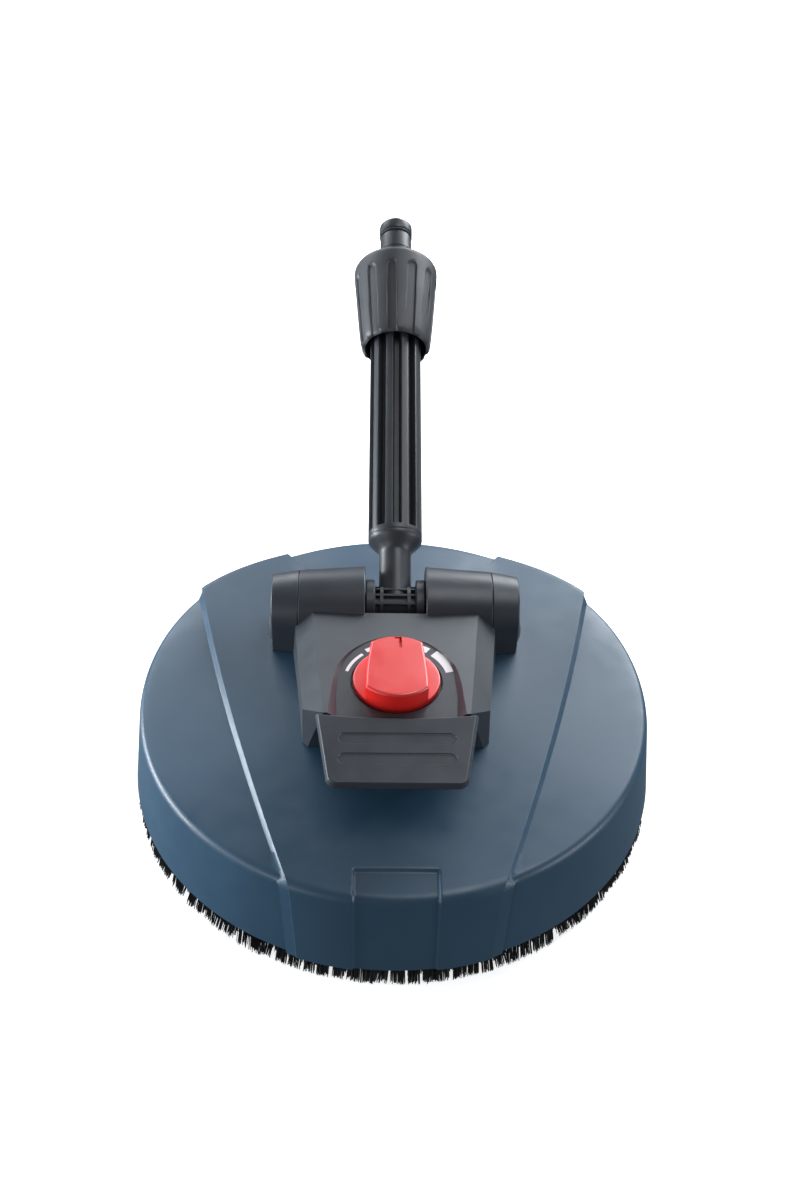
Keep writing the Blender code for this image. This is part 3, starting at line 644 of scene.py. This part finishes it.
def housing_block(name, inset, bottom, top_back, top_front, rounding):
    """The tapered front body, with chamfered shoulders and softened edges."""
    corners = housing_corners(inset, bottom, top_back, top_front)
    bm = bmesh.new()
    bmesh.ops.create_cube(bm, size=2.0)
    for vert in bm.verts:
        key = ("back" if vert.co.y > 0 else "front", "high" if vert.co.z > 0 else "low")
        half, y, z = corners[key]
        vert.co = (math.copysign(half, vert.co.x), y, z)
    shoulders = [edge for edge in bm.edges if is_shoulder(edge)]
    bmesh.ops.bevel(bm, geom=shoulders, offset=HOUSING_CHAMFER, segments=1, affect="EDGES")
    cut_front_corners(bm, inset)
    bmesh.ops.recalc_face_normals(bm, faces=bm.faces)
    if rounding:
        edges = [e for e in bm.edges if max(v.co.z for v in e.verts) > 70]
        bmesh.ops.bevel(bm, geom=edges, offset=rounding, segments=3, affect="EDGES", clamp_overlap=True)
    bmesh.ops.triangulate(bm, faces=bm.faces)
    mesh = bpy.data.meshes.new(name)
    bm.transform(DECK)
    bm.to_mesh(mesh)
    bm.free()
    return linked(name, mesh)


def tombstone(name, side, stations, leg=36.0, steps=40):
    """A round-topped block along X with straight legs, through (x, radius) stations."""
    rings = []
    for x, radius in stations:
        outline = arc(radius, 180, 0, steps) + [(radius, -leg), (-radius, -leg)]
        rings.append([(side * x, PIVOT_Y + u, PIVOT_Z + v) for u, v in outline])
    return loft(name, rings, DECK)


def rounded_run(start, stop, radius, end_radius, fillet_start, fillet_stop):
    """Stations (x, radius) of a tapered run whose two ends are rounded over."""
    head, tail = [], []
    for k in range(5):
        a = math.pi / 2 * k / 4
        early, late = 1 - math.cos(a), 1 - math.sin(a)
        head.append((start + fillet_start * early, radius - fillet_start * late))
        tail.append((stop - fillet_stop * late, end_radius - fillet_stop * early))
    return head + tail


def deck_top_solid(name):
    """Everything under the band's surface, with a small gap over it."""
    rings = (0.0, 20, 40, 50, 60, 65, 70, 75, 80, 85, 90, 100, 120)
    profile = [(r, dome_z(r, BAND_LIFT + 0.4)) for r in rings]
    obj = lathe(name, profile + [(120.0, 20.0), (0.0, 20.0)], 96, Matrix.Identity(4))
    bm = bmesh.new()
    bm.from_mesh(obj.data)
    for vert in bm.verts:
        if vert.co.z > 40:
            vert.co.z += band_lift(vert.co.x, vert.co.y) - BAND_LIFT
    bmesh.ops.triangulate(bm, faces=bm.faces)
    bm.transform(DECK)
    bm.to_mesh(obj.data)
    bm.free()
    return obj


def dish_outline(radius_at, tail):
    """Half a turn behind the knob, then straight towards the foot plate, the same on both sides."""
    turn = [math.radians(t) for t in range(0, 181, 5)]
    curve = [(radius_at(a) * math.cos(a), KNOB_Y + radius_at(a) * math.sin(a)) for a in turn]
    return curve + [(-x, y) for x, y in tail] + list(reversed(tail))


def dish_tool():
    """The sloping-sided recess round the knob, open towards the foot plate."""
    floor_tail = [(31.7, -46.0), (30.9, -58.0), (30.5, -75.0)]
    rim_tail = [(35.3, -46.0), (35.5, -58.0), (35.6, -75.0)]
    floor = dish_outline(lambda a: 30.9 + 4.0 * math.sin(a) ** 2.2, floor_tail)
    rim = dish_outline(lambda a: 35.2, rim_tail)
    low = 101.5
    rings = []
    for z in (low, 106.0, 110.0):
        t = (z - low) / 4.5
        rings.append([(a[0] + (b[0] - a[0]) * t, a[1] + (b[1] - a[1]) * t, z) for a, b in zip(floor, rim)])
    return loft("dish", rings, DECK)


def housing_tools():
    """Everything that is cut out of the housing, in order."""
    place = spot(0, KNOB_Y)
    well = [(0, 99.7), (24.1, 99.7), (24.1, 101.2), (24.5, 101.7), (24.5, 104), (0, 104)]
    tools = [housing_block("cavity", 2.4, 50.0, 97.0, 97.0, 0.0)]
    for side in (-1, 1):
        tools.append(tombstone(f"hollow_{side}", side, [(22.1, 20.8), (60.0, 18.4)], 40.0, 24))
        tools.append(plug(f"bore_{side}", 10.3, 10, 24, 40, along_x(side)))
    tools.append(box_tool("drum_room", (-17.3, 22.6, 40), (17.3, 80, 130)))
    tools.append(box_tool("pedal_mouth", (-29, -75, 87), (29, -50, 99.5)))
    tools.append(dish_tool())
    tools.append(lathe("knob_well", well, 96, place))
    tools.append(plug("spindle_hole", 6.2, 80, 120, 32, place))
    tools.append(deck_top_solid("deck_room"))
    return tools


def make_housing():
    """The black cover with its two hinge barrels, and the caps on the barrels' outer ends."""
    cover = housing_block("housing_moulding", 0.0, 58.0, 100.0, 106.0, 1.0)
    run = rounded_run(17.3, 55.0, 23.4, 21.0, 0.8, 0.5)
    carve(cover, [tombstone(f"barrel_{side}", side, run) for side in (-1, 1)], "UNION")
    for tool in housing_tools():
        carve(cover, [tool])
    piece(cover, "deck", "housing_black", replaces=["housing_cover"], flat_faces=True)
    button = [(0, 73.0), (3.0, 72.8), (5.6, 72.2), (8.0, 71.2), (9.4, 70.0), (9.6, 66.0), (0, 66.0)]
    for side, word in ((-1, "left"), (1, "right")):
        cap = tombstone(f"cap_{word}", side, rounded_run(55.15, 70.5, 20.9, 18.5, 0.45, 1.0))
        boss = lathe(f"boss_{word}", button, 40, along_x(side, 34.0, 80.0))
        carve(cap, [boss], "UNION")
        carve(cap, [deck_top_solid(f"cap_room_{word}")])
        piece(cap, "deck", "housing_black", replaces=[f"barrel_cap_{word}"], flat_faces=True)


# ---------------------------------------------------------------- knob, dial and foot plate


def make_knob():
    """The round grip with a tapered bar across it, a small notch, and a socket for the spindle."""
    place = spot(0, KNOB_Y)
    r, base, wing, top = KNOB_R, KNOB_BASE, KNOB_WING, KNOB_TOP
    edge = [(r - 0.3, base), (r, base + 0.4), (r, wing - 0.9), (r - 0.3, wing - 0.25), (r - 0.9, wing)]
    disc = lathe("knob_grip", [(0, base), *edge, (0, wing)], 128, place)
    rim = [(22.99, top - 1.6), (22.75, top - 0.8), (22.2, top - 0.25), (21.4, top)]
    drum = lathe("drum", [(0, base), (22.99, base), *rim, (0, top)], 128, place)
    side = [(16.1 - 3.3 * ramp(y, -14, 34) ** 1.2, y) for y in range(-26, 27, 4)]
    outline = side + [(-x, y) for x, y in reversed(side)]
    carve(drum, [puck("bar", outline, base + 0.2, top + 0.01, 1.3, place)], "INTERSECT")
    carve(disc, [drum], "UNION")
    for name, half_x, half_y, centre in (("notch", 0.75, 4.3, (2.0, 17.6)), ("hook", 1.6, 0.65, (0.4, 21.0))):
        mark = rounded_rect(half_x, half_y, 0.5, centre)
        carve(disc, [puck(name, mark, top - 2.0, top + 2, 0, place)])
    carve(disc, [plug("socket", 4.3, 90, 108.2, 32, place)])
    piece(disc, "knob", "knob_red", replaces=["pressure_knob"], flat_faces=True)


# The dial's marks: name, start and end angle, inner and outer radius.
DIAL = (
    ("dial_mark_1", 165.0, 131.5, 26.4, 28.2),
    ("dial_mark_2", 125.0, 93.0, 27.0, 29.8),
    ("dial_mark_3", 87.0, 54.0, 27.2, 31.4),
    ("dial_mark_4", 47.0, 14.0, 27.0, 32.3),
)


def make_dial():
    """Four printed marks that grow thicker round the knob."""
    centre = (0, KNOB_Y)
    for name, start, stop, inner, outer in DIAL:
        outline = arc(outer, start, stop, 20, centre) + arc(inner, stop, start, 20, centre)
        mark = puck(name, outline, 101.48, 101.56, 0, DECK)
        piece(mark, "deck", "housing_black", PRINT)


# How far the outline is grown, and at what height, from the bottom up.
TREAD_LAYERS = (
    (0.7, -4.1), (1.15, -3.9), (1.25, -3.4), (0.3, -0.8), (0.12, -0.35), (-0.2, -0.08), (-0.7, 0.0),
)
GROOVE_LAYERS = ((-0.15, -0.5), (0.1, -0.42), (0.2, -0.15), (0.4, 0.04), (0.4, 1.0))


def tread_outline(half_back, half_front, length):
    """The foot plate seen from above: a bowed back edge, straight sides, round front corners."""
    corner = 4.5
    outline = [(x, -2.2 * (1 - (x / half_back) ** 2)) for x in (-40.2 + 80.4 * k / 24 for k in range(25))]
    outline.reverse()
    outline += arc(corner, 180, 270, 8, (-half_front + corner, -length + corner))
    return outline + arc(corner, 270, 360, 8, (half_front - corner, -length + corner))


def stacked(name, outline, layers, place):
    """A body through copies of an outline, each grown by an amount at a height."""
    return loft(name, [[(x, y, z) for x, y in grown(outline, grow)] for grow, z in layers], place)


def make_pedal():
    """The foot plate: a hollow tread with two grooves, and a web and tongue that reach its pin."""
    half_back, y_back, z_back = PEDAL_BACK
    half_front, y_front, z_front = PEDAL_FRONT
    tilt = math.atan2(z_back - z_front, y_back - y_front)
    length = math.hypot(z_back - z_front, y_back - y_front)
    place = DECK @ Matrix.Translation((0, y_back, z_back)) @ Matrix.Rotation(tilt, 4, "X")
    outline = tread_outline(half_back, half_front, length)
    tread = stacked("foot_plate", outline, TREAD_LAYERS, place)
    under = [(x * 0.93, -3.6 + (y + 3.6) * 0.86) for x, y in outline]
    carve(tread, [loft("hollow", [[(x, y, z) for x, y in under] for z in (-9.0, -2.6)], place)])
    for index, distance in enumerate((14.2, 26.0)):
        slot = arc(2.9, 90, 270, 10, (-26.5, -distance)) + arc(2.9, -90, 90, 10, (26.5, -distance))
        carve(tread, [stacked(f"groove_{index}", slot, GROOVE_LAYERS, place)])
    y, z = PEDAL_PIN_Y, PEDAL_PIN_Z
    web = box_tool("web", (-28, y_back - 6.5, z - 1), (28, y_back - 2.5, z_back - 2.6))
    tongue = box_tool("tongue", (-28, y_back - 6.2, z - 2.9), (28, y + 7.0, z + 2.9))
    carve(tread, [web], "UNION")
    carve(tread, [tongue], "UNION")
    carve(tread, [box_tool("spring_room", (-6.5, y - 4.6, 80), (6.5, y + 20, 98))])
    piece(tread, "pedal", "pedal_black", replaces=["foot_pedal"], flat_faces=True)


# ---------------------------------------------------------------- lance


# Half of the drum on the hinge line, from its journal inwards: x, radius, and 1 where the grid has windows.
DRUM_HALF = (
    (30.0, 8.0, 0), (17.0, 8.0, 0), (16.9, 15.2, 0), (16.3, 15.8, 0), (12.4, 15.8, 0), (11.9, 15.3, 0),
    (11.8, 11.8, 0), (11.5, 11.8, 0), (11.3, 11.8, 1), (8.9, 11.8, 1), (8.7, 11.8, 0), (6.9, 11.8, 0),
    (6.7, 11.8, 1),
)
WINDOW_DEPTH = 2.6


def make_hub():
    """The drum with its moulded grid, its ears and journals, and the flared neck."""
    pitch = 360 / DRUM_BARS
    angles = []
    for k in range(DRUM_BARS):
        middle = 90 + pitch * k
        angles += [(middle - 3.4, 1), (middle, 1), (middle + 3.4, 1)]
        angles += [(middle + 4.4, 0), (middle + pitch / 2, 0), (middle + pitch - 4.4, 0)]
    rows = []
    for x, radius, window in DRUM_HALF + tuple((-x, r, w) for x, r, w in reversed(DRUM_HALF)):
        row = []
        for angle, bar in angles:
            r = radius - (WINDOW_DEPTH if window and not bar else 0.0)
            row.append((x, r * math.cos(math.radians(angle)), r * math.sin(math.radians(angle))))
        rows.append(row)
    hub = loft("lance_drum", rows, LANCE)
    neck = [(0, 4.0), (9.4, 4.0), (9.4, 33.0), (9.6, 34.3), (10.3, 35.7), (12.6, 38.2), (14.9, 40.6)]
    neck += [(15.8, 41.9), (TUBE_R, 43.0), (TUBE_R, 43.75), (0, 43.75)]
    carve(hub, [lathe("neck", neck, 64, LANCE)], "UNION")
    piece(hub, "lance", "lance_black", replaces=["lance_hub"])


# One rib and the channel beside it: angle from the rib's middle, radius.
FLUTE = (
    (-8.6, 15.5), (-7.9, 15.9), (-6.6, 16.0), (-3, 16.0), (0, 16.0), (3, 16.0), (6.6, 16.0), (7.9, 15.9),
    (8.6, 15.5), (9.8, 11.8), (11.0, 11.5), (18, 11.4), (25.0, 11.5), (26.2, 11.8),
)


def make_tube():
    """The fluted tube: ten ribs with deep channels that start past a plain ring."""
    points = [(RIB_TURN + 360 / RIBS * k + offset, radius) for k in range(RIBS) for offset, radius in FLUTE]
    # Distance along the lance, weight of the plain ring, and how far the edge is taken in.
    levels = [(44.05, 1.0, 0.35), (44.35, 1.0, 0.1), (44.8, 1.0, 0), (47.2, 1.0, 0), (47.5, 0.75, 0)]
    levels += [(47.9, 0, 0)] + [(60 + 20 * k, 0, 0) for k in range(8)] + [(222.0, 0, 0), (231.5, 0, 0)]
    rows = []
    for level, plain, inset in levels:
        row = []
        for angle, radius in points:
            a = math.radians(angle)
            r = plain * TUBE_R + (1 - plain) * radius - inset
            row.append((r * math.cos(a), r * math.sin(a), level))
        rows.append(row)
    tube = loft("lance_flutes", rows, LANCE)
    carve(tube, [plug("pipe_bore", BORE_R, 30, 260, 32, LANCE)])
    piece(tube, "lance", "lance_black", replaces=["lance_tube"])


# The collar's wall as (radius, distance along the lance), outside going up and inside coming back.
COLLAR_OUTER = (
    (20.6, 180.75), (21.5, 181.5), (22.2, 183.0), (22.6, 186.0), (23.1, 190.0), (24.4, 204.0),
    (25.3, 215.0), (26.1, 225.0), (26.35, 228.2), (26.5, 229.4), (26.6, 230.4), (26.68, 231.2),
    (26.75, 231.9), (26.8, 232.6), (26.9, 234.5), (27.1, 238.6), (27.05, 240.3), (26.5, 241.5), (25.6, 242.0),
)
COLLAR_INNER = (
    (10.7, 242.0), (10.7, 238.6), (24.2, 237.8), (22.0, 204.0), (20.3, 190.0), (19.2, 181.2), (19.6, 180.6),
)
RECESS_OFFSETS = (-10.5, -8.4, -7.4, -6.9, -6.4, -5.5, -3.5, 0, 3.5, 5.5, 6.4, 6.9, 7.4, 8.4, 10.5, 15.0)
RECESS_TOP, RECESS_DEPTH, RECESS_TURN = 229.0, 1.05, 270 - 7.4


def recess_depth(offset, radius, level):
    """Depth of a finger recess beside its middle line: it ends in a half round near the top."""
    across = abs(math.radians(offset)) * radius
    beyond = max(level - RECESS_TOP, 0.0)
    return RECESS_DEPTH * (1 - ramp(math.hypot(across, beyond), 2.75, 3.3))


def make_collar():
    """The bayonet collar: a flared sleeve with long finger recesses."""
    rows = []
    for k in range(COLLAR_RECESSES):
        for offset in RECESS_OFFSETS:
            a = math.radians(RECESS_TURN + 360 / COLLAR_RECESSES * k + offset)
            wall = [(r - recess_depth(offset, r, level), level) for r, level in COLLAR_OUTER]
            rows.append([(r * math.cos(a), r * math.sin(a), level) for r, level in wall + list(COLLAR_INNER)])
    verts = [p for row in rows for p in row]
    collar = solid("bayonet_sleeve", verts, grid_faces(len(rows), len(rows[0]), True, True), LANCE)
    piece(collar, "collar", "collar_black", replaces=["bayonet_collar"], angle=40)


# The nipple's section as (radius, distance along the lance): bore edge, head, seal groove, neck, flange.
NIPPLE = (
    (BORE_R, 282.0), (7.0, 282.0), (7.8, 281.7), (8.2, 281.1), (8.4, 280.5), (9.4, 280.2), (10.3, 279.8),
    (10.75, 279.1), (10.85, 278.2), (10.85, 273.8), (10.6, 272.9), (10.0, 272.5), (9.0, 272.3), (9.0, 270.1),
    (9.9, 269.9), (10.25, 269.6), (10.3, 269.0), (10.3, 258.2), (9.9, 257.8), (9.9, 256.6), (10.3, 256.2),
    (10.3, 237.8), (14.0, 237.8), (14.0, 232.6), (BORE_R, 232.6),
)


def make_nipple():
    """The plug that goes into the pressure washer's socket, and the ring in its groove."""
    nipple = lathe("inlet_plug", NIPPLE, 72, LANCE, True)
    piece(nipple, "lance", "lance_black", replaces=["inlet_nipple"])
    seal = lathe("inlet_seal", arc(0.8, 0, 337.5, 15, (10.0, 271.2)), 72, LANCE, True)
    piece(seal, "lance", "rubber_seal", replaces=["nipple_o_ring"])


# ---------------------------------------------------------------- bristles


TUFT_ROWS = ((143.0, 1.8), (145.6, 4.0))
TUFTS, STRANDS = 121, 27


def make_bristles():
    """Two rows of dense nylon tufts that hang almost straight, flare in front and have ragged tips."""
    rng = random.Random(11)
    verts, faces = [], []
    pitch = 2 * math.pi / TUFTS
    for root, flare in TUFT_ROWS:
        for k in range(TUFTS):
            add_tuft(rng, verts, faces, root, pitch, k, flare)
    mesh = bpy.data.meshes.new("bristle_tufts")
    mesh.from_pydata(verts, [], faces)
    mesh.transform(DECK)
    piece(linked("bristle_tufts", mesh), "deck", "bristle", replaces=["brush_skirt"], angle=60)


def add_tuft(rng, verts, faces, root, pitch, index, flare):
    """One tuft: strands side by side that share a lean, a flare and about the same length."""
    middle = pitch * (index + rng.uniform(-0.10, 0.10))
    half = pitch * root * rng.uniform(0.33, 0.45)
    splay = flare * (0.45 - 0.55 * min(0.0, math.sin(middle))) + rng.uniform(-0.4, 0.4)
    lean = rng.gauss(0, 0.5)
    short = max(0.0, rng.gauss(0.5, 0.9))
    for strand in range(STRANDS):
        across = half * (2 * strand / (STRANDS - 1) - 1) + rng.uniform(-0.14, 0.14)
        a = middle + across / root
        r0 = root + rng.uniform(-1.2, 1.2)
        r1 = min(r0 + splay + rng.uniform(-0.4, 0.4), BRISTLE_MAX_R)
        swing = (lean + across * 0.06 + rng.gauss(0, 0.12)) / root
        low = min(short + abs(rng.gauss(0, 0.8)), 5.0)
        width = rng.uniform(0.26, 0.38)
        path = (
            (a, r0, BRISTLE_ROOT_Z, width),
            (a + swing * 0.4, r0 + (r1 - r0) * 0.45, BRISTLE_MIDDLE_Z, width * 0.98),
            (a + swing, r1, low, width * 0.8),
        )
        add_strand(verts, faces, path)


def add_strand(verts, faces, path):
    """One three-sided strand through (angle, radius, height, half width) at its root, middle and tip."""
    start = len(verts)
    for a, r, z, w in path:
        x, y = r * math.cos(a), r * math.sin(a)
        for t in (0, 120, 240):
            u = a + math.radians(t)
            verts.append((x + w * math.cos(u), y + w * math.sin(u), z))
    for level in (start, start + 3):
        for i in range(3):
            j = (i + 1) % 3
            faces.append((level + j, level + i, level + 3 + i, level + 3 + j))
    faces.append((start, start + 1, start + 2))
    faces.append((start + 8, start + 7, start + 6))


# ---------------------------------------------------------------- stage


FLOOR_HALF, FLOOR_DROP = 9, 0.0004
COOL = (0.90, 0.95, 1.0)
LIGHT_TARGET = (0, 0, 0.05)
# Name, position, size and power of each soft light.
SOFTBOXES = (
    ("back_right", (0.95, 1.35, 0.95), (1.6, 1.0), 52),
    ("back_left", (-0.85, 1.45, 0.95), (1.3, 0.9), 23),
    ("top", (0.55, -0.20, 1.75), (1.0, 0.8), 15),
    ("front_left", (-1.25, -1.35, 0.50), (0.7, 0.35), 6),
    ("left", (-1.45, 0.1, 0.16), (1.1, 0.3), 36),
    ("right", (1.45, -0.6, 0.25), (0.8, 0.4), 9),
)


def make_stage():
    """A plain pale floor that glows a little, and doesn't light or mirror in the object."""
    h = FLOOR_HALF
    mesh = bpy.data.meshes.new("studio_floor")
    mesh.from_pydata([(-h, -h, 0), (h, -h, 0), (h, h, 0), (-h, h, 0)], [], [(0, 1, 2, 3)])
    floor = linked("studio_floor", mesh)
    floor.location.z = -FLOOR_DROP
    material, _, shader = node_material("studio_floor_paint")
    shader.inputs["Base Color"].default_value = (0.93, 0.93, 0.93, 1)
    shader.inputs["Roughness"].default_value = 0.9
    shader.inputs["Specular IOR Level"].default_value = 0.0
    shader.inputs["Emission Color"].default_value = (1, 1, 1, 1)
    shader.inputs["Emission Strength"].default_value = 0.75
    mesh.materials.append(material)
    floor.visible_diffuse = False
    floor.visible_glossy = False


def softbox(name, position, size, power):
    """A rectangular soft light that faces the object."""
    data = bpy.data.lights.new(name, "AREA")
    data.shape = "RECTANGLE"
    data.size, data.size_y = size
    data.energy = power
    data.color = COOL
    light = linked(name, data)
    light.location = position
    aim = Vector(LIGHT_TARGET) - Vector(position)
    light.rotation_mode = "QUATERNION"
    light.rotation_quaternion = aim.to_track_quat("-Z", "Y")
    return light


def make_lights():
    """Even surroundings and six soft lights; the one overhead only adds its sheen."""
    world = bpy.data.worlds.new("studio")
    world.use_nodes = True
    background = world.node_tree.nodes["Background"]
    background.inputs["Color"].default_value = (0.88, 0.94, 1.0, 1)
    background.inputs["Strength"].default_value = 0.19
    bpy.context.scene.world = world
    for name, position, size, power in SOFTBOXES:
        light = softbox(name, position, size, power)
        light.visible_diffuse = name != "top"


# The camera's swing to one side, place in millimetres, tilt below the horizon, pan and roll in degrees.
CAMERA_SWING, CAMERA_SPOT, CAMERA_DIP = -1.6, (0, -510.5, 551.8), 39.66
CAMERA_PAN, CAMERA_ROLL, CAMERA_LENS = -0.13, 1.67, 37.30


def turn(degrees, axis):
    """A rotation about one axis."""
    return Matrix.Rotation(math.radians(degrees), 4, axis)


def make_camera():
    """The camera looks down at the deck from in front, a little to one side."""
    data = bpy.data.cameras.new("camera")
    data.sensor_width = 36.0
    data.lens = CAMERA_LENS
    data.clip_start, data.clip_end = 0.05, 30
    camera = linked("camera", data)
    view = DECK @ turn(CAMERA_SWING, "Z") @ Matrix.Translation(CAMERA_SPOT) @ turn(90 - CAMERA_DIP, "X")
    view = view @ turn(CAMERA_PAN, "Y") @ turn(CAMERA_ROLL, "Z")
    camera.matrix_world = Matrix.LocRotScale(view.translation, view.to_quaternion(), (1, 1, 1))
    bpy.context.scene.camera = camera


paint_frame()
make_deck()
make_housing()
make_knob()
make_dial()
make_pedal()
make_hub()
make_tube()
make_collar()
make_nipple()
make_bristles()
make_stage()
make_lights()
make_camera()
bpy.context.scene.view_settings.view_transform = "Standard"
